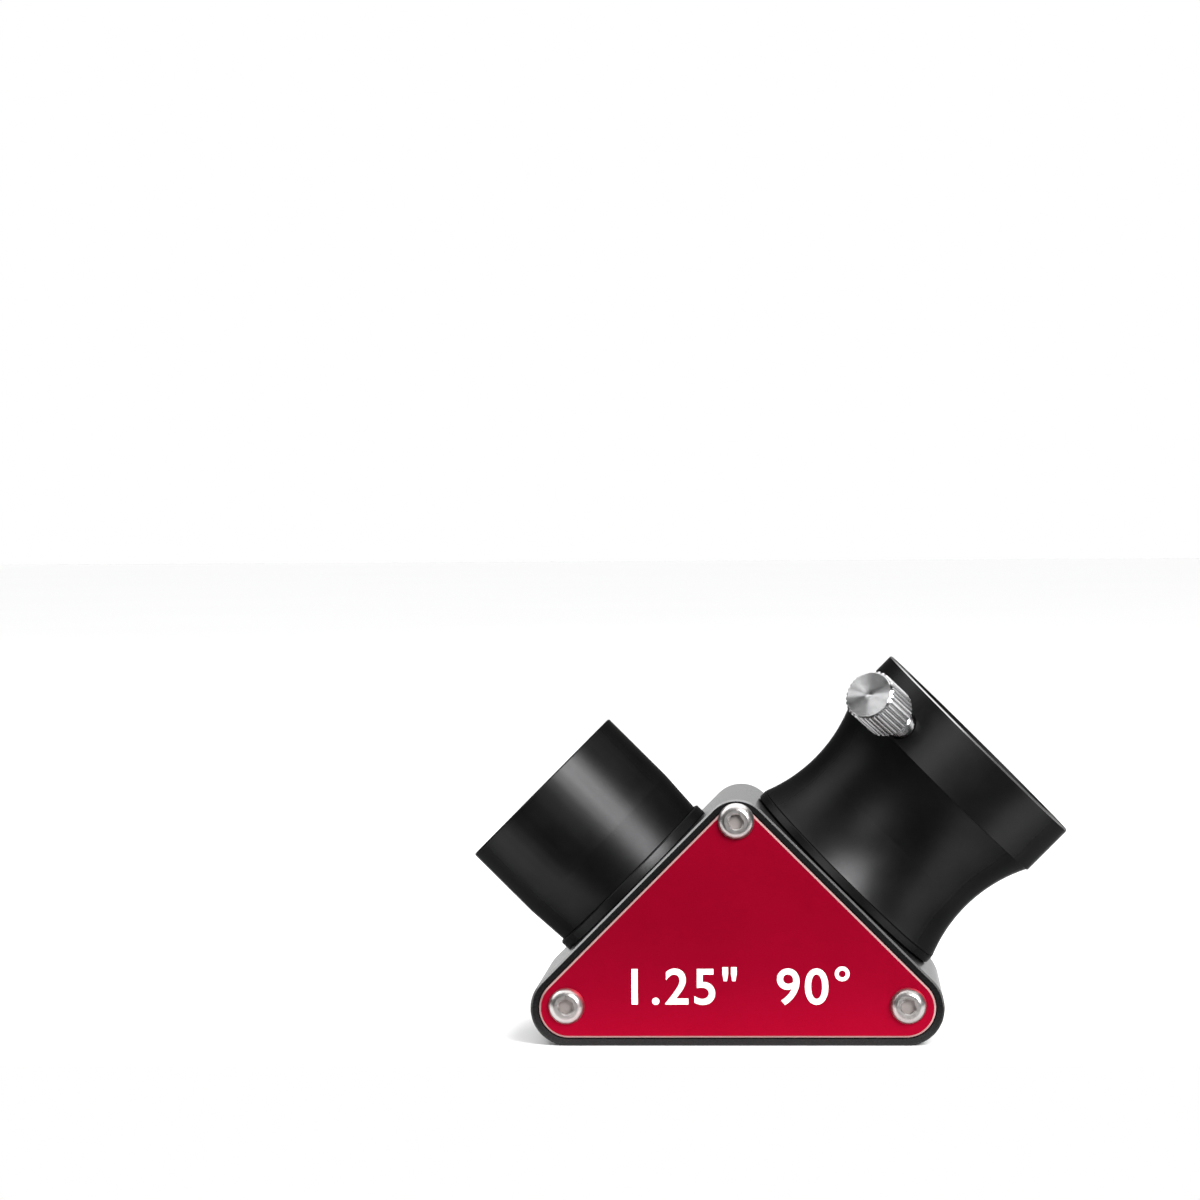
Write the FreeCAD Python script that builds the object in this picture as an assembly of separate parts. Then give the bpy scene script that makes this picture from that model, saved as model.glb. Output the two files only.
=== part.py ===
"""Star diagonal for 1.25 inch telescope accessories, 90 degrees, in millimetres.

A right-angled triangular housing lies on its long side. A plug-in nosepiece leaves the left sloping face and
an eyepiece holder leaves the right sloping face, each square to its face. A flat mirror lies along the long
side, so that both optical axes cross on its reflecting surface.

Frame: +Z up, origin on the base face under the mirror's centre, +X towards the eyepiece holder,
-Y towards the front side plate. Each STEP file is one named piece.
"""

import FreeCAD
import Part
import math
import os

V = FreeCAD.Vector

# ---------------------------------------------------------------- driving dimensions
APEX_H = 42.1            # height of the housing's sharp apex over the base; the sharp triangle is 2 x this wide
R_BASE = 6.1             # outline radius at the two base corners
R_APEX = 5.4             # outline radius at the apex
HALF_Y = 20.5            # half the housing's thickness
WALL_SLOPE = 3.0         # wall under each port
WALL_BASE = 2.0          # wall under the mirror
CAVITY_R_BASE, CAVITY_R_APEX = 3.5, 2.4
RIM = 1.15               # black rim left standing around each side plate
REBATE = 1.3             # depth of the rebate that takes a side plate
EDGE = 0.3               # chamfer around the housing's outer rims

PLATE_GAP = 0.20         # gap between a side plate and its rebate
PLATE_T = 1.6            # side plate thickness
PLATE_CH = 0.30          # bright chamfer around a side plate
PLATE_R_BASE = 4.8
PLATE_R_APEX = 3.0

SCREWS_XZ = [(-27.6, 6.5), (27.6, 6.5), (0.0, 36.35)]   # M3 side plate screws
BOSS_R = [4.8, 4.8, 3.6]
M3_R = 1.5
M3_HEAD_R = 2.95
M3_HEAD_H = 1.60
M3_HEX_AF = 2.2
M3_LEN = 7.0             # under the head

MIRROR_Z = 8.0           # height of the reflecting surface, where the optical axes cross
MIRROR_X, MIRROR_Y, MIRROR_T = 42.0, 30.0, 4.0
PAD_R = 3.0
CELL_FLOOR = 1.5
CELL_RIM_H = 1.5
CELL_X, CELL_Y = 44.0, 37.4
CELL_SCREW_Y = 17.0      # M2.5 countersunk screws, from below
M25_R, M25_HEAD_R, M25_HEAD_H = 1.25, 2.35, 1.2

NOSE_R = 15.85           # 1.25 inch barrel, 31.7 mm
NOSE_ROOT_R = 15.41      # foot of the safety taper
NOSE_RING_R, NOSE_RING_T = 16.0, 1.8
NOSE_TAPER_END = 8.9     # above the sloping face
NOSE_LEN = 22.22         # above the sloping face
NOSE_BORE_R = 13.55
FILTER_R, FILTER_L = 13.93, 4.5   # minor radius of the M28.5 x 0.6 filter thread
TAIL_R = 15.2            # threaded tail of each seat ring
TUBE_TAIL_R = 14.8       # threaded tail of each tube, inside its seat ring
PLAY = 0.04              # radial clearance of a threaded pair

EYE_RING_R, EYE_RING_T = 19.4, 1.6
EYE_LEN = 32.15          # above the sloping face
EYE_COLLAR_R = 20.45
EYE_COLLAR_L = 9.3       # collar length below the mouth
WAIST_R, WAIST_BELOW = 17.47, 20.8   # smallest radius, and its distance below the mouth
WAIST_ARC = 25.5
SOCKET_R = 15.925        # 31.85 mm socket
SOCKET_FLOOR = 5.0       # stop for the eyepiece barrel, above the face
EYE_BORE_R = 13.9

CLAMP_BELOW = 6.45       # thumbscrews' distance below the mouth
CLAMP_ANGLES = (54.5, 234.5)   # from the plane of symmetry's apex side towards the front; the two are opposite
GROOVE_W, GROOVE_R = 5.0, 17.35
CRING_W, CRING_RI, CRING_RO = 4.8, 16.12, 16.92   # relaxed, so it stands back from the socket wall
CRING_GAP = 3.0
CRING_GAP_ANGLE = 144.0
M4_R = 2.0
M4_PLAY = 0.05

THUMB_TIP = CRING_RO + 0.05
SHANK_R, SHANK_GROOVE_R = 2.20, 1.78   # slim shank between the collar and the head, with one groove
THUMB_SHOULDER = 20.9    # underside of the shoulder, from the holder's axis
THUMB_HEAD = 25.5
THUMB_END = 33.6
THUMB_R = 4.20
THUMB_TEETH = 32
KNURL_DEPTH = 0.34
STUD_NECK_R = 1.10       # stud inside the knob
STUD_END = 30.0

S2 = math.sqrt(0.5)
FACE = (APEX_H - MIRROR_Z) * S2     # from the mirror's centre to each sloping face

OUT = "parts"
os.makedirs(OUT, exist_ok=True)


# ---------------------------------------------------------------- helpers
def save(name, shapes):
    """Writes one node: one solid, or several solids that don't touch."""
    if not isinstance(shapes, (list, tuple)):
        shapes = [shapes]
    solids = []
    for s in shapes:
        solids += s.Solids
    body = solids[0] if len(solids) == 1 else Part.makeCompound(solids)
    for s in solids:
        assert s.isValid() and s.Volume > 0, name
    body.exportStep(os.path.join(OUT, name + ".step"))
    b = body.BoundBox
    print("%-24s solids %d  volume %9.2f  x %.2f..%.2f y %.2f..%.2f z %.2f..%.2f" % (
        name, len(solids), sum(s.Volume for s in solids), b.XMin, b.XMax, b.YMin, b.YMax, b.ZMin, b.ZMax))


def triangle(base, slope, r_base, r_apex, y, extra=0.0):
    """Rounded triangle in the plane Y = y. base and slope are insets from the sharp outline; extra grows it."""
    top = APEX_H - slope * math.sqrt(2) + extra
    half = top - base
    tb = r_base / math.tan(math.radians(22.5))
    ta = r_apex
    left, right, apex = (-half, base), (half, base), (0.0, top)

    def toward(a, b, d):
        n = math.hypot(b[0] - a[0], b[1] - a[1])
        return (a[0] + (b[0] - a[0]) * d / n, a[1] + (b[1] - a[1]) * d / n)

    def p(q):
        return V(q[0], y, q[1])

    def arc(corner, inward, r, half_angle, a, b):
        """Arc from a to b about the centre that lies at r / sin(half_angle) along inward."""
        d = r / math.sin(half_angle)
        c = (corner[0] + inward[0] * d, corner[1] + inward[1] * d)
        mid = (c[0] - inward[0] * r, c[1] - inward[1] * r)
        return Part.Arc(p(a), p(mid), p(b)).toShape()

    h = math.radians(22.5)
    l1, l2 = toward(left, apex, tb), toward(left, right, tb)
    r1, r2 = toward(right, left, tb), toward(right, apex, tb)
    a1, a2 = toward(apex, right, ta), toward(apex, left, ta)
    edges = [
        Part.LineSegment(p(l2), p(r1)).toShape(),
        arc(right, (-math.cos(h), math.sin(h)), r_base, h, r1, r2),
        Part.LineSegment(p(r2), p(a1)).toShape(),
        arc(apex, (0.0, -1.0), r_apex, math.radians(45), a1, a2),
        Part.LineSegment(p(a2), p(l1)).toShape(),
        arc(left, (math.cos(h), math.sin(h)), r_base, h, l1, l2),
    ]
    return Part.Face(Part.Wire(edges))


def along_y(x, z, r, y0, y1):
    lo, hi = min(y0, y1), max(y0, y1)
    return Part.makeCylinder(r, hi - lo, V(x, lo, z), V(0, 1, 0))


def turned(profile):
    """Revolves a closed profile about Z. Each entry is (r, z), or (r, z, rm, zm) where an arc through (rm, zm) leads to (r, z)."""
    edges, here = [], profile[0]
    for nxt in list(profile[1:]) + [profile[0][:2]]:
        a, b = V(here[0], 0, here[1]), V(nxt[0], 0, nxt[1])
        if a.distanceToPoint(b) > 1e-9:
            if len(nxt) == 4:
                edges.append(Part.Arc(a, V(nxt[2], 0, nxt[3]), b).toShape())
            else:
                edges.append(Part.LineSegment(a, b).toShape())
        here = nxt
    return Part.Face(Part.Wire(edges)).revolve(V(0, 0, 0), V(0, 0, 1), 360)


def solid_of(shape):
    s = shape.Solids[0] if shape.Solids else Part.Solid(shape.Shells[0])
    return s


def port(shape, side):
    """Carries a shape from the axis frame (Z out along the tube, origin on the mirror) to the part's frame. side is -1 for the nosepiece, +1 for the eyepiece holder."""
    m = FreeCAD.Placement(V(0, 0, MIRROR_Z), FreeCAD.Rotation(V(0, 1, 0), 45.0 * side))
    out = shape.copy()
    out.transformShape(m.toMatrix(), True)
    return out


def hexagon(af, z0, z1):
    r = af / math.sqrt(3)
    pts = [V(r * math.cos(math.radians(60 * i + 30)), r * math.sin(math.radians(60 * i + 30)), z0) for i in range(6)]
    return Part.Face(Part.makePolygon(pts + [pts[0]])).extrude(V(0, 0, z1 - z0))


def on_radius(shape, angle, z):
    """Carries a shape built along +Z to the radial line at this angle from the plane of symmetry towards the front, at height z on the eyepiece axis."""
    a = math.radians(angle)
    w = V(-math.cos(a), -math.sin(a), 0)
    m = FreeCAD.Placement(V(0, 0, z), FreeCAD.Rotation(V(0, 0, 1), w))
    out = shape.copy()
    out.transformShape(m.toMatrix(), True)
    return out


# ---------------------------------------------------------------- housing
def make_housing():
    outer = triangle(0, 0, R_BASE, R_APEX, -HALF_Y).extrude(V(0, 2 * HALF_Y, 0))
    rims = []
    for e in outer.Edges:
        b = e.BoundBox
        if abs(b.YMin - b.YMax) < 1e-6:
            rims.append(e)
    outer = outer.makeChamfer(EDGE, rims)

    cavity = triangle(WALL_BASE, WALL_SLOPE, CAVITY_R_BASE, CAVITY_R_APEX, -HALF_Y - 1).extrude(V(0, 2 * HALF_Y + 2, 0))
    for (x, z), r in zip(SCREWS_XZ, BOSS_R):
        cavity = cavity.cut(along_y(x, z, r, -HALF_Y - 2, HALF_Y + 2))
    body = outer.cut(cavity)

    for y0, y1 in ((-HALF_Y - 1, -HALF_Y + REBATE), (HALF_Y - REBATE, HALF_Y + 1)):
        pocket = triangle(RIM, RIM, PLATE_R_BASE + PLATE_GAP, PLATE_R_APEX + PLATE_GAP, y0).extrude(V(0, y1 - y0, 0))
        body = body.cut(pocket)

    for side in (-1, 1):
        hole = Part.makeCylinder(TAIL_R + PLAY, WALL_SLOPE + 2, V(0, 0, FACE - WALL_SLOPE - 1))
        body = body.cut(port(hole, side))
    for x, z in SCREWS_XZ:
        for sign in (-1, 1):
            body = body.cut(along_y(x, z, M3_R, sign * (HALF_Y + 1), sign * (HALF_Y - 9.0)))
    for sign in (-1, 1):
        body = body.cut(Part.makeCylinder(M25_R + 0.12, 6, V(0, sign * CELL_SCREW_Y, -1)))
        sink = Part.makeCone(M25_HEAD_R + 0.10, M25_R + 0.12, M25_HEAD_H, V(0, sign * CELL_SCREW_Y, 0.12))
        mouth = Part.makeCylinder(M25_HEAD_R + 0.10, 1.12, V(0, sign * CELL_SCREW_Y, -1.0))
        body = body.cut(sink).cut(mouth)
    return body


save("housing", make_housing())


# ---------------------------------------------------------------- side plates and their screws
def make_plate(sign):
    inner = sign * (HALF_Y - REBATE)
    outer = sign * (HALF_Y - REBATE + PLATE_T)
    y0, y1 = min(inner, outer), max(inner, outer)
    inset = RIM + PLATE_GAP
    plate = triangle(inset, inset, PLATE_R_BASE, PLATE_R_APEX, y0).extrude(V(0, y1 - y0, 0))
    edges = [e for e in plate.Edges if abs(e.BoundBox.YMin - outer) < 1e-6 and abs(e.BoundBox.YMax - outer) < 1e-6]
    plate = plate.makeChamfer(PLATE_CH, edges)
    for x, z in SCREWS_XZ:
        plate = plate.cut(along_y(x, z, 1.62, y0 - 1, y1 + 1))
    return plate


def make_button_screw(head_r, head_h, shank_r, length, af, socket):
    """Button head screw along -Z, the head's underside at Z = 0."""
    flat = head_r * 0.64
    edge_h = 0.28
    # dome through edge, shoulder and flat
    mid_r, mid_z = (head_r + flat) / 2 + 0.12, (edge_h + head_h) / 2 + 0.20
    shape = turned([
        (0, -length), (shank_r - 0.25, -length), (shank_r, -length + 0.25), (shank_r, 0), (head_r - 0.08, 0),
        (head_r, 0.08), (head_r, edge_h), (flat, head_h, mid_r, mid_z), (0, head_h)])
    shape = solid_of(shape)
    shape = shape.cut(hexagon(af, head_h - socket, head_h + 0.5))
    lead = turned([(0, head_h - 0.22), (af / math.sqrt(3) - 0.12, head_h - 0.22), (af / math.sqrt(3) + 0.16, head_h + 0.06), (0, head_h + 0.06)])
    return shape.cut(solid_of(lead))


PLATE_OUT = HALF_Y - REBATE + PLATE_T
for name, sign in (("front", -1), ("rear", 1)):
    save(name + "_side_plate", make_plate(sign))
    one = make_button_screw(M3_HEAD_R, M3_HEAD_H, M3_R - 0.03, M3_LEN, M3_HEX_AF, 1.1)
    group = []
    for i, (x, z) in enumerate(SCREWS_XZ):
        s = one.copy()
        s.rotate(V(0, 0, 0), V(0, 0, 1), 17.0 * i)
        m = FreeCAD.Placement(V(x, sign * PLATE_OUT, z), FreeCAD.Rotation(V(0, 0, 1), V(0, sign, 0)))
        s.transformShape(m.toMatrix(), True)
        group.append(s)
    save(name + "_plate_screws", group)


# ---------------------------------------------------------------- mirror and its cell
def block(cx, cy, z0, sx, sy, h):
    return Part.makeBox(sx, sy, h, V(cx - sx / 2, cy - sy / 2, z0))


def upright(shape, r):
    """Rounds the four upright edges of a box."""
    es = [e for e in shape.Edges if abs(e.BoundBox.XMax - e.BoundBox.XMin) < 1e-6 and abs(e.BoundBox.YMax - e.BoundBox.YMin) < 1e-6]
    return shape.makeFillet(r, es)


carrier = upright(block(0, 0, WALL_BASE, CELL_X, CELL_Y, CELL_FLOOR + CELL_RIM_H), 2.0)
pocket = upright(block(0, 0, WALL_BASE + CELL_FLOOR, MIRROR_X + 0.3, MIRROR_Y + 0.3, CELL_RIM_H + 1), 0.8)
carrier = carrier.cut(pocket)
for sign in (-1, 1):
    carrier = carrier.cut(Part.makeCylinder(M25_R, 2.6, V(0, sign * CELL_SCREW_Y, WALL_BASE)))
save("mirror_carrier", carrier)

glass_z0 = MIRROR_Z - MIRROR_T
glass = upright(block(0, 0, glass_z0, MIRROR_X, MIRROR_Y, MIRROR_T), 0.8)
top_edges = [e for e in glass.Edges if abs(e.BoundBox.ZMin - MIRROR_Z) < 1e-6 and abs(e.BoundBox.ZMax - MIRROR_Z) < 1e-6]
glass = glass.makeChamfer(0.3, top_edges)
save("mirror", glass)

pad_z = WALL_BASE + CELL_FLOOR
pads = [Part.makeCylinder(PAD_R, glass_z0 - pad_z, V(x, y, pad_z)) for x, y in ((-14, -8), (-14, 8), (15, 0))]
save("mirror_adhesive_pads", pads)

carrier_screws = []
for sign in (-1, 1):
    sc = solid_of(turned([
        (0, 0.12), (M25_HEAD_R, 0.12), (M25_R - 0.03, 0.12 + M25_HEAD_H), (M25_R - 0.03, 4.2), (M25_R - 0.23, 4.4), (0, 4.4)]))
    sc = sc.cut(block(0, 0, 0.12 - 0.5, 2.4, 0.5, 1.1)).cut(block(0, 0, 0.12 - 0.5, 0.5, 2.4, 1.1))
    sc.translate(V(0, sign * CELL_SCREW_Y, 0))
    carrier_screws.append(sc)
save("mirror_carrier_screws", carrier_screws)

# ---------------------------------------------------------------- nosepiece
ring = turned([
    (TUBE_TAIL_R + PLAY, FACE - WALL_SLOPE), (TAIL_R - 0.3, FACE - WALL_SLOPE), (TAIL_R, FACE - WALL_SLOPE + 0.3),
    (TAIL_R, FACE), (NOSE_RING_R - 0.12, FACE), (NOSE_RING_R, FACE + 0.12), (NOSE_RING_R, FACE + NOSE_RING_T - 0.22),
    (NOSE_RING_R - 0.22, FACE + NOSE_RING_T), (TUBE_TAIL_R + PLAY, FACE + NOSE_RING_T)])
save("nosepiece_seat_ring", port(solid_of(ring), -1))

z0, z1 = FACE + NOSE_RING_T, FACE + NOSE_LEN
barrel = turned([
    (NOSE_BORE_R, FACE - WALL_SLOPE + 0.2), (TUBE_TAIL_R - 0.25, FACE - WALL_SLOPE + 0.2), (TUBE_TAIL_R, FACE - WALL_SLOPE + 0.45),
    (TUBE_TAIL_R, z0), (NOSE_ROOT_R - 0.10, z0), (NOSE_ROOT_R, z0 + 0.10), (NOSE_R, FACE + NOSE_TAPER_END),
    (NOSE_R, z1 - 0.22), (NOSE_R - 0.22, z1), (FILTER_R + 0.30, z1), (FILTER_R, z1 - 0.30),
    (FILTER_R, z1 - FILTER_L), (NOSE_BORE_R, z1 - FILTER_L - 0.4)])
save("nosepiece_barrel", port(solid_of(barrel), -1))

# ---------------------------------------------------------------- eyepiece side
ring = turned([
    (TUBE_TAIL_R + PLAY, FACE - WALL_SLOPE), (TAIL_R - 0.3, FACE - WALL_SLOPE), (TAIL_R, FACE - WALL_SLOPE + 0.3),
    (TAIL_R, FACE), (EYE_RING_R - 0.35, FACE), (EYE_RING_R, FACE + 0.35), (EYE_RING_R, FACE + EYE_RING_T - 0.12),
    (EYE_RING_R - 0.12, FACE + EYE_RING_T), (TUBE_TAIL_R + PLAY, FACE + EYE_RING_T)])
save("holder_seat_ring", port(solid_of(ring), 1))


def flare(dz):
    return WAIST_R + WAIST_ARC - math.sqrt(WAIST_ARC ** 2 - dz ** 2)


zt = FACE + EYE_LEN
zb, zw, zc = FACE + EYE_RING_T, zt - WAIST_BELOW, zt - EYE_COLLAR_L
mid_low, mid_high = (zb + zw) / 2, (zw + zc) / 2
r_foot, r_top = flare(zw - zb), flare(zc - zw)
zg = zt - CLAMP_BELOW
print("collar radius at the crease %.3f of %.3f, foot radius %.3f" % (r_top, EYE_COLLAR_R, r_foot))
holder = turned([
    (EYE_BORE_R, FACE - WALL_SLOPE + 0.2), (TUBE_TAIL_R - 0.25, FACE - WALL_SLOPE + 0.2), (TUBE_TAIL_R, FACE - WALL_SLOPE + 0.45),
    (TUBE_TAIL_R, zb), (flare(zw - zb - 0.12) - 0.08, zb), (flare(zw - zb - 0.12), zb + 0.12),
    (WAIST_R, zw, flare(zw - mid_low), mid_low), (r_top, zc, flare(mid_high - zw), mid_high),
    (EYE_COLLAR_R - 0.10, zc), (EYE_COLLAR_R, zc + 0.10), (EYE_COLLAR_R, zt - 0.20), (EYE_COLLAR_R - 0.20, zt),
    (SOCKET_R + 0.45, zt), (SOCKET_R, zt - 0.45),
    (SOCKET_R, zg + GROOVE_W / 2), (GROOVE_R, zg + GROOVE_W / 2), (GROOVE_R, zg - GROOVE_W / 2), (SOCKET_R, zg - GROOVE_W / 2),
    (SOCKET_R, FACE + SOCKET_FLOOR), (EYE_BORE_R, FACE + SOCKET_FLOOR)])
holder = solid_of(holder)
lead = solid_of(turned([
    (0, EYE_COLLAR_R - 0.55), (M4_R, EYE_COLLAR_R - 0.55), (M4_R + 0.75, EYE_COLLAR_R + 0.2), (0, EYE_COLLAR_R + 0.2)]))
for angle in CLAMP_ANGLES:
    tap = Part.makeCylinder(M4_R, 8.0, V(0, 0, GROOVE_R - 1.0))
    holder = holder.cut(on_radius(tap, angle, zg)).cut(on_radius(lead, angle, zg))
save("eyepiece_holder", port(holder, 1))

# split brass ring, resting on the groove's lower wall, its gap midway between the thumbscrews
rz0 = zg - GROOVE_W / 2
rz1 = rz0 + CRING_W
cring = solid_of(turned([
    (CRING_RI, rz0 + 0.25), (CRING_RI + 0.25, rz0), (CRING_RO, rz0), (CRING_RO, rz1), (CRING_RI + 0.25, rz1), (CRING_RI, rz1 - 0.25)]))
slit = Part.makeBox(CRING_GAP, CRING_W + 2, 3.0, V(-CRING_GAP / 2, -CRING_W / 2 - 1, 15.0))
g = math.radians(CRING_GAP_ANGLE)
gap_dir = V(-math.cos(g), -math.sin(g), 0)
along = V(0, 0, 1)
across = along.cross(gap_dir)
frame = FreeCAD.Matrix(across.x, along.x, gap_dir.x, 0, across.y, along.y, gap_dir.y, 0, across.z, along.z, gap_dir.z, (rz0 + rz1) / 2, 0, 0, 0, 1)
slit.transformShape(frame, True)
cring = cring.cut(slit)
save("compression_ring", port(cring, 1))


# ---------------------------------------------------------------- thumbscrews
def make_stud():
    return solid_of(turned([
        (0, THUMB_TIP), (M4_R - 0.45, THUMB_TIP), (M4_R - M4_PLAY, THUMB_TIP + 0.40), (M4_R - M4_PLAY, THUMB_SHOULDER - 0.05),
        (STUD_NECK_R, THUMB_SHOULDER - 0.05), (STUD_NECK_R, STUD_END), (0, STUD_END)]))


def make_knob():
    sh = THUMB_SHOULDER
    core = solid_of(turned([
        (0, sh), (SHANK_R - 0.2, sh), (SHANK_R, sh + 0.2), (SHANK_R, sh + 1.35), (SHANK_GROOVE_R, sh + 1.6),
        (SHANK_GROOVE_R, sh + 1.9), (SHANK_R, sh + 2.15), (SHANK_R, THUMB_HEAD + 0.2), (0, THUMB_HEAD + 0.2)]))
    pts = []
    for i in range(THUMB_TEETH):
        for k, r in ((0.00, THUMB_R), (0.26, THUMB_R), (0.50, THUMB_R - KNURL_DEPTH), (0.76, THUMB_R - KNURL_DEPTH)):
            t = 2 * math.pi * (i + k) / THUMB_TEETH
            pts.append(V(r * math.cos(t), r * math.sin(t), THUMB_HEAD))
    star = Part.Face(Part.makePolygon(pts + [pts[0]])).extrude(V(0, 0, THUMB_END - THUMB_HEAD))
    lathe = solid_of(turned([
        (0, THUMB_HEAD), (THUMB_R - 0.55, THUMB_HEAD), (THUMB_R + 0.05, THUMB_HEAD + 0.50), (THUMB_R + 0.05, THUMB_END - 0.40),
        (THUMB_R - 0.45, THUMB_END), (0.0, THUMB_END - 0.12)]))
    head = star.common(lathe).fuse(core).removeSplitter()
    bore = Part.makeCylinder(STUD_NECK_R + 0.05, STUD_END + 0.05 - sh + 1, V(0, 0, sh - 1))
    return head.cut(bore)


for i, angle in enumerate(CLAMP_ANGLES, 1):
    save("thumbscrew_%d_stud" % i, port(on_radius(make_stud(), angle, zg), 1))
    save("thumbscrew_%d_knob" % i, port(on_radius(make_knob(), angle, zg), 1))
    a = math.radians(angle)
    w = V(-math.cos(a) * S2, -math.sin(a), math.cos(a) * S2)
    foot = V(zg * S2, 0, MIRROR_Z + zg * S2)
    print("thumbscrew %d: axis %.6f %.6f %.6f through %.4f %.4f %.4f" % (i, w.x, w.y, w.z, foot.x, foot.y, foot.z))
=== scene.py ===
import math

import bpy
import bmesh
from mathutils import Matrix, Vector


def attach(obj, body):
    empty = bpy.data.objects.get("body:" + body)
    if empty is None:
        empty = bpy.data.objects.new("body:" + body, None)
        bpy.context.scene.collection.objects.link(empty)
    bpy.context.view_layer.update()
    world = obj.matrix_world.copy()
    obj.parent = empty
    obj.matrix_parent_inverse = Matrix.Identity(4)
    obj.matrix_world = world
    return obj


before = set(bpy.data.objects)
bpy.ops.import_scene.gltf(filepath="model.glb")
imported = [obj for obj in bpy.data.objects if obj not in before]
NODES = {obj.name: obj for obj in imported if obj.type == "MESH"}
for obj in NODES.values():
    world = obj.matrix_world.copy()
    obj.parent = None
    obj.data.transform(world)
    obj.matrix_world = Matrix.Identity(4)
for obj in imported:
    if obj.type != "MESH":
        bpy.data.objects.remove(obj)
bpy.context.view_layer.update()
scene = bpy.context.scene
scene.view_settings.view_transform = "Standard"
scene.view_settings.look = "None"
scene.view_settings.exposure = 0.0
scene.view_settings.gamma = 1.0

S2 = math.sqrt(0.5)
MIRROR = Vector((0, 0, 0.008))
EYE = Vector((S2, 0, S2))
NOSE = Vector((-S2, 0, S2))
FACE = 0.0341 * S2
CLAMP = MIRROR + EYE * (FACE + 0.03215 - 0.00645)


def radial(angle):
    a = math.radians(angle)
    return Vector((-math.cos(a) * S2, -math.sin(a), math.cos(a) * S2))


# ------------------------------------------------------------ camera, a long lens from the front, a little above
def make_camera():
    az, el, roll, dist = math.radians(-2.99), math.radians(1.24), math.radians(-0.36), 0.740
    tx, tz, f_px = 0.02308, -0.04359, 6.025 * 740
    fwd = Vector((math.sin(az) * math.cos(el), math.cos(az) * math.cos(el), -math.sin(el)))
    right = Vector((math.cos(az), -math.sin(az), 0))
    up = right.cross(fwd)
    c, s = math.cos(roll), math.sin(roll)
    r2, u2 = right * c + up * s, up * c - right * s
    pos = Vector((0, 0, 0.028)) - fwd * dist - r2 * tx - u2 * tz
    data = bpy.data.cameras.new("camera")
    data.sensor_width = 36.0
    data.lens = f_px / 1200 * 36.0
    data.clip_start, data.clip_end = 0.01, 20
    cam = bpy.data.objects.new("camera", data)
    cam.matrix_world = Matrix((
        (r2.x, u2.x, -fwd.x, pos.x), (r2.y, u2.y, -fwd.y, pos.y), (r2.z, u2.z, -fwd.z, pos.z), (0, 0, 0, 1)))
    scene.collection.objects.link(cam)
    scene.camera = cam


make_camera()


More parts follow.
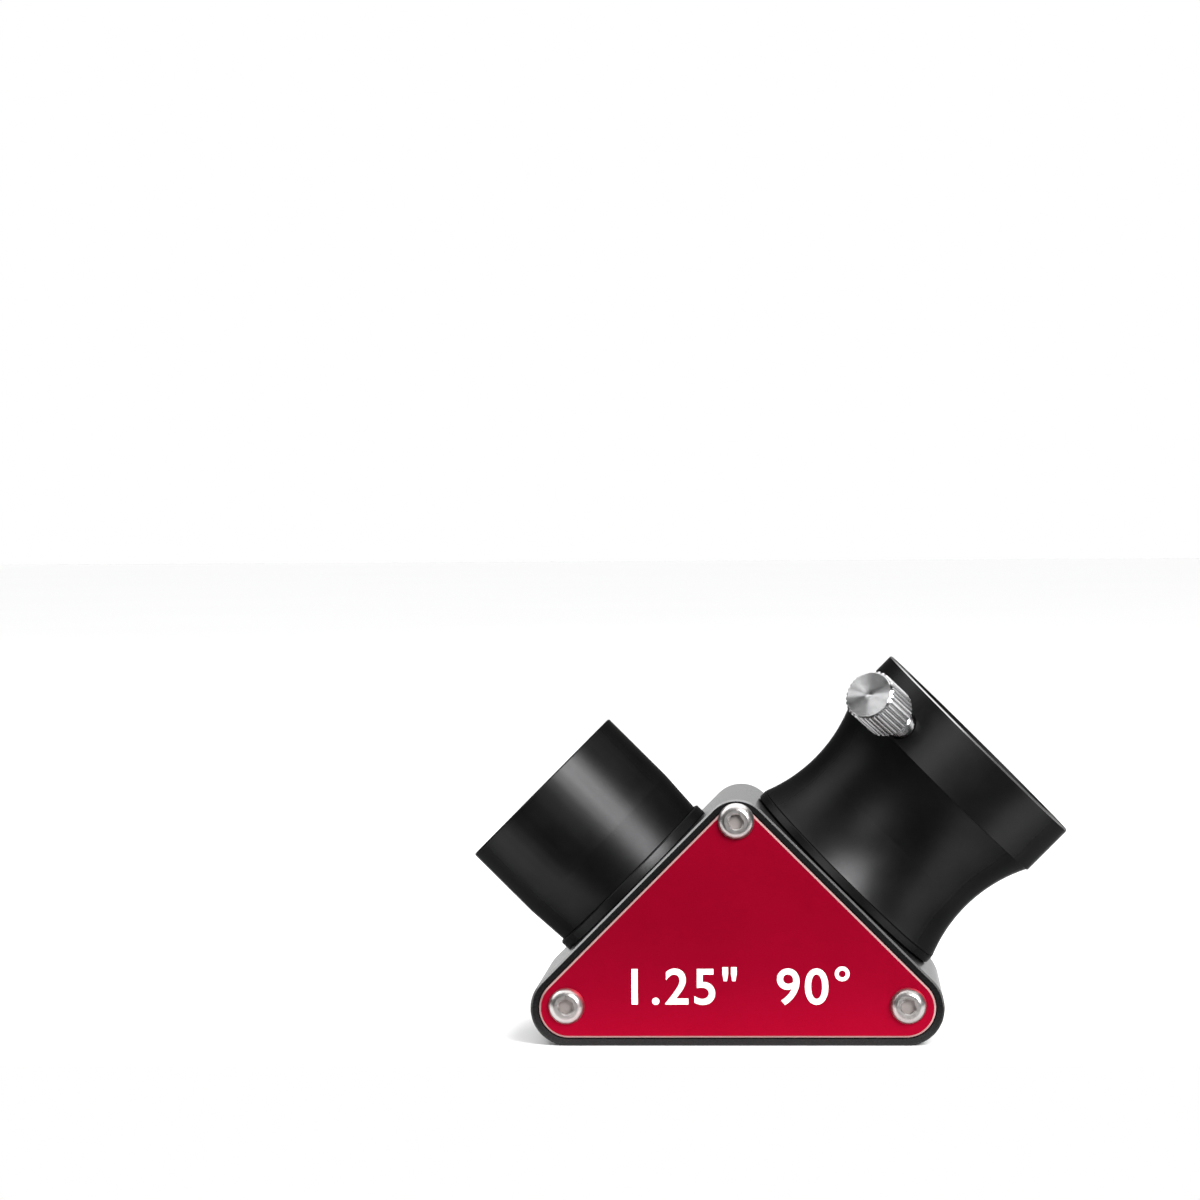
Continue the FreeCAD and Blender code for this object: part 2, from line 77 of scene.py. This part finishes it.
# ------------------------------------------------------------ node helpers
class Mat:
    def __init__(self, name):
        self.m = bpy.data.materials.new(name)
        self.m.use_nodes = True
        self.t = self.m.node_tree
        self.t.nodes.clear()
        self.out = self.t.nodes.new("ShaderNodeOutputMaterial")
        self.b = self.t.nodes.new("ShaderNodeBsdfPrincipled")
        self.link(self.b.outputs[0], self.out.inputs[0])

    def link(self, a, b):
        self.t.links.new(a, b)

    def n(self, kind, **props):
        x = self.t.nodes.new(kind)
        for k, v in props.items():
            setattr(x, k, v)
        return x

    def put(self, sock, v):
        if isinstance(v, bpy.types.NodeSocket):
            self.link(v, sock)
        elif hasattr(v, "__len__") and sock.type == "RGBA" and len(v) == 3:
            sock.default_value = (*v, 1)
        else:
            sock.default_value = v

    def math(self, op, a, b=0.0, c=None, clamp=False):
        x = self.n("ShaderNodeMath", operation=op, use_clamp=clamp)
        self.put(x.inputs[0], a)
        self.put(x.inputs[1], b)
        if c is not None:
            self.put(x.inputs[2], c)
        return x.outputs[0]

    def vec(self, op, a, b=(0, 0, 0)):
        x = self.n("ShaderNodeVectorMath", operation=op)
        self.put(x.inputs[0], a)
        if op == "SCALE":
            self.put(x.inputs[3], b)
        else:
            self.put(x.inputs[1], b)
        return x.outputs[1] if op in ("DOT_PRODUCT", "LENGTH") else x.outputs[0]

    def ramp(self, v, lo, hi, a=0.0, b=1.0):
        x = self.n("ShaderNodeMapRange")
        x.clamp = True
        self.put(x.inputs[0], v)
        for i, k in zip((1, 2, 3, 4), (lo, hi, a, b)):
            self.put(x.inputs[i], k)
        return x.outputs[0]

    def mix(self, f, a, b):
        x = self.n("ShaderNodeMix", data_type="RGBA")
        self.put(x.inputs[0], f)
        self.put(x.inputs[6], a)
        self.put(x.inputs[7], b)
        return x.outputs[2]

    def noise(self, scale, detail=2.0, rough=0.5, vector=None):
        x = self.n("ShaderNodeTexNoise")
        x.inputs["Scale"].default_value = scale
        x.inputs["Detail"].default_value = detail
        x.inputs["Roughness"].default_value = rough
        self.link(vector if vector is not None else self.obj(), x.inputs["Vector"])
        return x.outputs["Fac"]

    def obj(self):
        return self.n("ShaderNodeTexCoord").outputs["Object"]

    def bump(self, h, dist, strength=1.0, normal=None):
        x = self.n("ShaderNodeBump")
        x.inputs["Strength"].default_value = strength
        x.inputs["Distance"].default_value = dist
        self.link(h, x.inputs["Height"])
        if normal is not None:
            self.link(normal, x.inputs["Normal"])
        return x.outputs[0]

    def set(self, **kw):
        names = {"color": "Base Color", "metal": "Metallic", "rough": "Roughness", "spec": "Specular IOR Level",
                 "aniso": "Anisotropic", "normal": "Normal", "tangent": "Tangent", "coat": "Coat Weight",
                 "coat_rough": "Coat Roughness", "ior": "IOR", "rotation": "Anisotropic Rotation", "tint": "Specular Tint"}
        for k, v in kw.items():
            self.put(self.b.inputs[names[k]], v)
        return self.m

    def edge(self):
        """Convex edges, for wear."""
        g = self.n("ShaderNodeNewGeometry").outputs["Pointiness"]
        return self.ramp(g, 0.53, 0.62)

    def along(self, axis, origin):
        """(distance along the axis, radius from it, radial vector) of a point in the row frame."""
        p = self.vec("SUBTRACT", self.obj(), tuple(origin))
        d = self.vec("DOT_PRODUCT", p, tuple(axis))
        proj = self.n("ShaderNodeVectorMath", operation="SCALE")
        proj.inputs[0].default_value = tuple(axis)
        self.link(d, proj.inputs[3])
        r = self.vec("SUBTRACT", p, proj.outputs[0])
        return d, self.vec("LENGTH", r), r


def black_anodised(name, axis=None, lip=None):
    """Dyed oxide over turned aluminium: a dark satin metal, dull at grazing angles."""
    m = Mat(name)
    grain = m.noise(5200, 3, 0.6)
    broad = m.noise(140, 3, 0.5)
    h = grain
    if axis is not None:
        d, r, _ = m.along(axis, MIRROR)
        lines = m.n("ShaderNodeTexNoise", noise_dimensions="1D")
        lines.inputs["Scale"].default_value = 9000
        lines.inputs["Detail"].default_value = 2
        m.link(d, lines.inputs["W"])
        h = m.math("ADD", m.math("MULTIPLY", grain, 0.55), m.math("MULTIPLY", lines.outputs[0], 0.45))
    color = m.mix(m.ramp(broad, 0.3, 0.7), (0.0150, 0.0150, 0.0154), (0.0190, 0.0189, 0.0193))
    color = m.mix(m.math("MULTIPLY", m.edge(), 0.20), color, (0.08, 0.08, 0.08))
    rough = m.math("ADD", m.ramp(grain, 0.3, 0.7, 0.34, 0.41), m.ramp(broad, 0.3, 0.7, -0.02, 0.02))
    if lip is not None:
        at, radius = lip
        # painted highlight: the outer chamfer of the mouth gets a lighter metal colour; its lower roughness is the
        # finish
        bright = m.math("MULTIPLY", m.ramp(d, at - 0.00024, at - 0.00018), m.ramp(r, radius - 0.00026, radius - 0.00020))
        color = m.mix(m.math("MULTIPLY", bright, m.ramp(broad, 0.25, 0.75, 0.75, 1.0)), color, (0.50, 0.50, 0.50))
        rough = m.math("SUBTRACT", rough, m.math("MULTIPLY", bright, 0.12))
    return m.set(color=color, metal=0.92, rough=rough, spec=0.2, tint=(0.12, 0.12, 0.12), normal=m.bump(h, 0.000012, 0.5))


def housing_black():
    m = Mat("housing_black_anodised")
    grain, broad = m.noise(5200, 3, 0.6), m.noise(120, 3, 0.5)
    tn = m.n("ShaderNodeNewGeometry").outputs["True Normal"]
    sep = m.n("ShaderNodeSeparateXYZ")
    m.link(tn, sep.inputs[0])
    ny = m.math("ABSOLUTE", sep.outputs[1])
    cut = m.math("MULTIPLY", m.ramp(ny, 0.6, 0.66), m.ramp(ny, 0.76, 0.82, 1.0, 0.0))
    cut = m.math("MULTIPLY", cut, m.ramp(sep.outputs[2], 0.0, 0.25))  # painted highlight: the chamfer faces are lighter metal only on the upper edges, where the overhead light falls
    color = m.mix(m.ramp(broad, 0.3, 0.7), (0.0018, 0.0018, 0.0020), (0.0030, 0.0029, 0.0031))
    # painted highlight: the upper chamfer faces take a light grey, partly metallic colour
    color = m.mix(m.math("MULTIPLY", cut, 0.60), color, (0.34, 0.34, 0.34))
    rough = m.ramp(grain, 0.3, 0.7, 0.24, 0.32)
    return m.set(color=color, rough=rough, metal=m.ramp(cut, 0.0, 1.0, 0.0, 0.75), spec=0.30, normal=m.bump(grain, 0.000010, 0.5))


def red_anodised():
    m = Mat("red_anodised")
    grain, broad = m.noise(4200, 4, 0.65), m.noise(60, 3, 0.5)
    tn = m.n("ShaderNodeNewGeometry").outputs["True Normal"]
    sep = m.n("ShaderNodeSeparateXYZ")
    m.link(tn, sep.inputs[0])
    ny = m.math("ABSOLUTE", sep.outputs[1])
    cut = m.math("MULTIPLY", m.ramp(ny, 0.55, 0.62), m.ramp(ny, 0.80, 0.86, 1.0, 0.0))
    color = m.mix(m.ramp(broad, 0.3, 0.7), (0.272, 0.0018, 0.0161), (0.294, 0.0021, 0.0180))
    color = m.mix(m.ramp(grain, 0.35, 0.75, 0.0, 0.22), color, (0.236, 0.0013, 0.0133))
    color = m.mix(cut, color, (0.44, 0.26, 0.25))
    rough = m.math("SUBTRACT", m.ramp(grain, 0.3, 0.7, 0.44, 0.56), m.math("MULTIPLY", cut, 0.12))
    metal = m.ramp(cut, 0.0, 1.0, 1.0, 0.5)
    # the inner face, towards the light path, is painted matt black
    pos = m.n("ShaderNodeSeparateXYZ")
    m.link(m.obj(), pos.inputs[0])
    inner = m.ramp(m.math("ABSOLUTE", pos.outputs[1]), 0.01925, 0.01932, 1.0, 0.0)
    color = m.mix(inner, color, (0.010, 0.010, 0.010))
    rough = m.math("ADD", rough, m.math("MULTIPLY", inner, 0.25))
    metal = m.math("MULTIPLY", metal, m.math("SUBTRACT", 1.0, inner))
    return m.set(color=color, rough=rough, metal=metal, spec=0.12, normal=m.bump(grain, 0.000012, 0.5))


def steel(name, sockets=False):
    """Stainless screws. sockets paints shade into the hexagon recess of the three button heads on each side."""
    m = Mat(name)
    fine, broad = m.noise(2600, 3, 0.6), m.noise(300, 2, 0.5)
    color = m.mix(m.ramp(broad, 0.3, 0.7), (0.42, 0.40, 0.39), (0.52, 0.50, 0.49))
    rough = m.ramp(fine, 0.3, 0.7, 0.27, 0.38)
    if sockets:
        sep = m.n("ShaderNodeSeparateXYZ")
        m.link(m.obj(), sep.inputs[0])
        r = None
        for x, z in ((-0.0276, 0.0065), (0.0276, 0.0065), (0.0, 0.03635)):
            dx, dz = m.math("SUBTRACT", sep.outputs[0], x), m.math("SUBTRACT", sep.outputs[2], z)
            d = m.math("SQRT", m.math("ADD", m.math("MULTIPLY", dx, dx), m.math("MULTIPLY", dz, dz)))
            r = d if r is None else m.math("MINIMUM", r, d)
        y = m.math("ABSOLUTE", sep.outputs[1])
        # painted shade: the hexagon socket recess below the head top is darkened, and made rougher
        recess_painted_shade = m.math("MULTIPLY", m.ramp(r, 0.00128, 0.00140, 1.0, 0.0), m.ramp(y, 0.02205, 0.02225, 1.0, 0.0))
        # a darker ring on the head, round the socket
        turned = m.math("MULTIPLY", m.ramp(r, 0.00180, 0.00190), m.ramp(r, 0.00200, 0.00215, 1.0, 0.0))
        color = m.mix(m.math("MULTIPLY", recess_painted_shade, 0.60), color, (0.14, 0.11, 0.10))
        color = m.mix(m.math("MULTIPLY", turned, 0.45), color, (0.16, 0.15, 0.145))
        rough = m.math("ADD", rough, m.math("MULTIPLY", recess_painted_shade, 0.2))
    return m.set(color=color, metal=1.0, rough=rough, normal=m.bump(fine, 0.000004, 0.35))


def chrome_knob(name, angle):
    """Bright plated brass: turned lines round the axis, a spun end face, painted shade in the knurl roots."""
    m = Mat(name)
    w = radial(angle)
    d, r, rv = m.along(w, CLAMP)
    rings = m.n("ShaderNodeTexNoise", noise_dimensions="1D")
    rings.inputs["Scale"].default_value = 14000
    rings.inputs["Detail"].default_value = 2
    m.link(r, rings.inputs["W"])
    tn = m.n("ShaderNodeNewGeometry").outputs["True Normal"]
    back = m.n("ShaderNodeVectorTransform", vector_type="NORMAL", convert_from="WORLD", convert_to="OBJECT")
    m.link(tn, back.inputs[0])
    face = m.ramp(m.math("ABSOLUTE", m.vec("DOT_PRODUCT", back.outputs[0], tuple(w))), 0.80, 0.86)
    across = m.n("ShaderNodeVectorMath", operation="SCALE")
    m.link(m.vec("NORMALIZE", rv), across.inputs[0])
    m.link(face, across.inputs[3])
    along = m.n("ShaderNodeVectorMath", operation="SCALE")
    along.inputs[0].default_value = tuple(w)
    m.link(m.math("SUBTRACT", 1.0, face), along.inputs[3])
    tr = m.n("ShaderNodeVectorTransform", vector_type="VECTOR", convert_from="OBJECT", convert_to="WORLD")
    m.link(m.vec("ADD", across.outputs[0], along.outputs[0]), tr.inputs[0])
    nrm = m.n("ShaderNodeVectorMath", operation="NORMALIZE")
    m.link(tr.outputs[0], nrm.inputs[0])
    smudge = m.noise(900, 3, 0.6)
    # painted shade: the roots of the knurl are darkened
    knurl_root_painted_shade = m.math("MULTIPLY", m.ramp(r, 0.00388, 0.00410, 1.0, 0.0), m.math("MULTIPLY", m.ramp(r, 0.00380, 0.00385), m.ramp(d, 0.0255, 0.0259)))
    color = m.mix(m.ramp(smudge, 0.3, 0.7), (0.70, 0.70, 0.71), (0.80, 0.80, 0.81))
    color = m.mix(m.math("MULTIPLY", knurl_root_painted_shade, 0.8), color, (0.10, 0.10, 0.10))
    # painted shade: the knurled side is darker than the rest of the plating
    flank = m.math("MULTIPLY", m.ramp(r, 0.00378, 0.00384), m.math("MULTIPLY", m.ramp(d, 0.0255, 0.0259), m.ramp(d, 0.03305, 0.03320, 1.0, 0.0)))
    color = m.mix(m.math("MULTIPLY", flank, 0.45), color, (0.30, 0.30, 0.30))
    # painted shade: the centre of the end face is darkened to hold back its highlight
    centre = m.math("MULTIPLY", m.ramp(r, 0.00050, 0.00095, 1.0, 0.0), face)
    color = m.mix(m.math("MULTIPLY", centre, 0.7), color, (0.20, 0.20, 0.20))
    # painted highlight: the shank is a lighter metal than the rest of the plating
    shank = m.math("MULTIPLY", m.ramp(r, 0.00230, 0.00240, 1.0, 0.0), m.ramp(d, 0.0256, 0.0258, 1.0, 0.0))
    color = m.mix(shank, color, (0.92, 0.92, 0.93))
    rough = m.ramp(rings.outputs[0], 0.3, 0.7, 0.20, 0.26)
    return m.set(color=color, metal=1.0, rough=rough, aniso=1.0, tangent=nrm.outputs[0], normal=m.bump(rings.outputs[0], 0.000004, 0.4))


def brass():
    m = Mat("brass_ring")
    fine, broad = m.noise(2500, 3, 0.6), m.noise(260, 3, 0.6)
    color = m.mix(m.ramp(broad, 0.3, 0.7), (0.66, 0.44, 0.17), (0.52, 0.32, 0.11))
    return m.set(color=color, metal=1.0, rough=m.ramp(fine, 0.3, 0.7, 0.24, 0.38), normal=m.bump(fine, 0.000006, 0.4))


def mirror_mat():
    m = Mat("mirror_glass")
    sep = m.n("ShaderNodeSeparateXYZ")
    m.link(m.obj(), sep.inputs[0])
    top = m.ramp(sep.outputs[2], 0.00796, 0.00799)
    dust = m.ramp(m.noise(1800, 4, 0.7), 0.62, 0.72)
    color = m.mix(top, (0.34, 0.42, 0.38), (0.91, 0.92, 0.93))
    rough = m.math("ADD", m.ramp(top, 0, 1, 0.34, 0.02), m.math("MULTIPLY", dust, 0.05))
    return m.set(color=color, metal=m.ramp(top, 0, 1, 0.0, 1.0), rough=rough)


def silicone():
    m = Mat("silicone_pads")
    n = m.noise(1200, 3, 0.6)
    return m.set(color=m.mix(n, (0.42, 0.42, 0.40), (0.52, 0.51, 0.49)), rough=m.ramp(n, 0.3, 0.7, 0.5, 0.7), normal=m.bump(n, 0.00002, 0.5))


def ink():
    m = Mat("white_ink")
    n = m.noise(2600, 3, 0.6)
    return m.set(color=m.mix(n, (0.80, 0.79, 0.78), (0.88, 0.87, 0.86)), rough=m.ramp(n, 0.3, 0.7, 0.42, 0.58), normal=m.bump(n, 0.000006, 0.4))


def assign(node, mat):
    o = NODES[node]
    o.data.materials.clear()
    o.data.materials.append(mat)


assign("housing", housing_black())
red = red_anodised()
assign("front_side_plate", red)
assign("rear_side_plate", red)
screws = steel("stainless_button_screws", True)
for n in ("front_plate_screws", "rear_plate_screws"):
    assign(n, screws)
assign("mirror_carrier_screws", steel("stainless_screws"))
nose_black, eye_black = black_anodised("nosepiece_black", NOSE), black_anodised("holder_black", EYE, (FACE + 0.03215, 0.02045))
for n in ("nosepiece_seat_ring", "nosepiece_barrel"):
    assign(n, nose_black)
for n in ("holder_seat_ring", "eyepiece_holder"):
    assign(n, eye_black)
assign("mirror_carrier", black_anodised("carrier_black"))
assign("mirror", mirror_mat())
assign("mirror_adhesive_pads", silicone())
assign("compression_ring", brass())
for i, a in ((1, 54.5), (2, 234.5)):
    k = chrome_knob("chrome_%d" % i, a)
    assign("thumbscrew_%d_knob" % i, k)
    assign("thumbscrew_%d_stud" % i, k)


# ------------------------------------------------------------ generic size print on the front plate
def print_text(name, body, x, z, height):
    cu = bpy.data.curves.new(name, "FONT")
    cu.body = body
    cu.size = height / 0.70
    cu.align_x, cu.align_y = "CENTER", "CENTER"
    cu.extrude = 0.000010
    cu.space_character = 1.12
    cu.offset = 0.00010
    cu.resolution_u = 6
    o = bpy.data.objects.new(name, cu)
    scene.collection.objects.link(o)
    o.matrix_world = Matrix.Translation((x, -0.020812, z)) @ Matrix.Rotation(math.radians(90), 4, "X")
    bpy.context.view_layer.update()
    me = bpy.data.meshes.new_from_object(o.evaluated_get(bpy.context.evaluated_depsgraph_get()))
    me.transform(o.matrix_world)
    bpy.data.objects.remove(o)
    q = bpy.data.objects.new(name, me)
    scene.collection.objects.link(q)
    me.materials.clear()
    me.materials.append(ink())
    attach(q, "diagonal")
    return q


label = print_text("size_print", '1.25"  90°', 0.0, 0.0093, 0.0057)

# ------------------------------------------------------------ floor, light
# the table ends just in front of the object, so that the black tubes mirror the dark room and not a white floor
floor_mesh = bpy.data.meshes.new("floor")
bm = bmesh.new()
bmesh.ops.create_grid(bm, x_segments=2, y_segments=2, size=6.0)
for v in bm.verts:
    v.co.y = max(v.co.y, -0.045) if v.co.y < -0.01 else v.co.y
bm.to_mesh(floor_mesh)
bm.free()
floor = bpy.data.objects.new("floor", floor_mesh)
scene.collection.objects.link(floor)
fm = Mat("pale_floor")
floor_mesh.materials.append(fm.set(color=fm.mix(fm.noise(3, 2), (0.90, 0.90, 0.90), (0.92, 0.92, 0.92)), rough=0.8))


def area(name, pos, target, size, power, size_y=None):
    d = bpy.data.lights.new(name, "AREA")
    d.shape = "RECTANGLE"
    d.size, d.size_y = size, size_y or size
    d.energy = power
    o = bpy.data.objects.new(name, d)
    scene.collection.objects.link(o)
    o.location = pos
    o.rotation_euler = (Vector(target) - Vector(pos)).to_track_quat("-Z", "Y").to_euler()
    return o


def softbox(name, centre, direction, distance, size, size_y, radiance):
    d = Vector(direction).normalized()
    return area(name, tuple(Vector(centre) + d * distance), centre, size, radiance * math.pi * size * size_y, size_y)


softbox("key", (0, 0, 0.03), (0.53, -0.80, 0.53), 1.15, 0.62, 0.62, 24.5)
softbox("fill", (0, 0, 0.03), (-0.31, -0.92, 0.31), 1.10, 0.50, 0.50, 3.6)
softbox("card", (0.023, -0.0235, 0.0556), (-0.763, 0.155, 0.628), 0.7, 0.46, 0.46, 2.4)
sun = bpy.data.lights.new("overhead", "SUN")
sun.energy = 3.0
sun.angle = math.radians(80)
sun_ob = bpy.data.objects.new("overhead", sun)
scene.collection.objects.link(sun_ob)
sun_ob.rotation_euler = Vector((0.0, -0.35, -1.0)).to_track_quat("-Z", "Y").to_euler()

# the room: a white backdrop to look at, and a dim studio with one white wall behind for reflections
world = bpy.data.worlds.new("studio")
scene.world = world
world.use_nodes = True
wt = world.node_tree
wt.nodes.clear()
wo = wt.nodes.new("ShaderNodeOutputWorld")
room, backdrop = wt.nodes.new("ShaderNodeBackground"), wt.nodes.new("ShaderNodeBackground")
tc = wt.nodes.new("ShaderNodeTexCoord")
sp = wt.nodes.new("ShaderNodeSeparateXYZ")
mr = wt.nodes.new("ShaderNodeMapRange")
mr.interpolation_type = "SMOOTHSTEP"
wt.links.new(tc.outputs["Generated"], sp.inputs[0])
wt.links.new(sp.outputs[1], mr.inputs[0])
for i, k in zip((1, 2, 3, 4), (0.70, 0.95, 0.09, 1.0)):
    mr.inputs[i].default_value = k
wt.links.new(mr.outputs[0], room.inputs["Strength"])
room.inputs["Color"].default_value = (1, 1, 1, 1)
backdrop.inputs["Color"].default_value = (1, 1, 1, 1)
backdrop.inputs["Strength"].default_value = 1.0
lp = wt.nodes.new("ShaderNodeLightPath")
both = wt.nodes.new("ShaderNodeMixShader")
wt.links.new(lp.outputs["Is Camera Ray"], both.inputs[0])
wt.links.new(room.outputs[0], both.inputs[1])
wt.links.new(backdrop.outputs[0], both.inputs[2])
wt.links.new(both.outputs[0], wo.inputs[0])
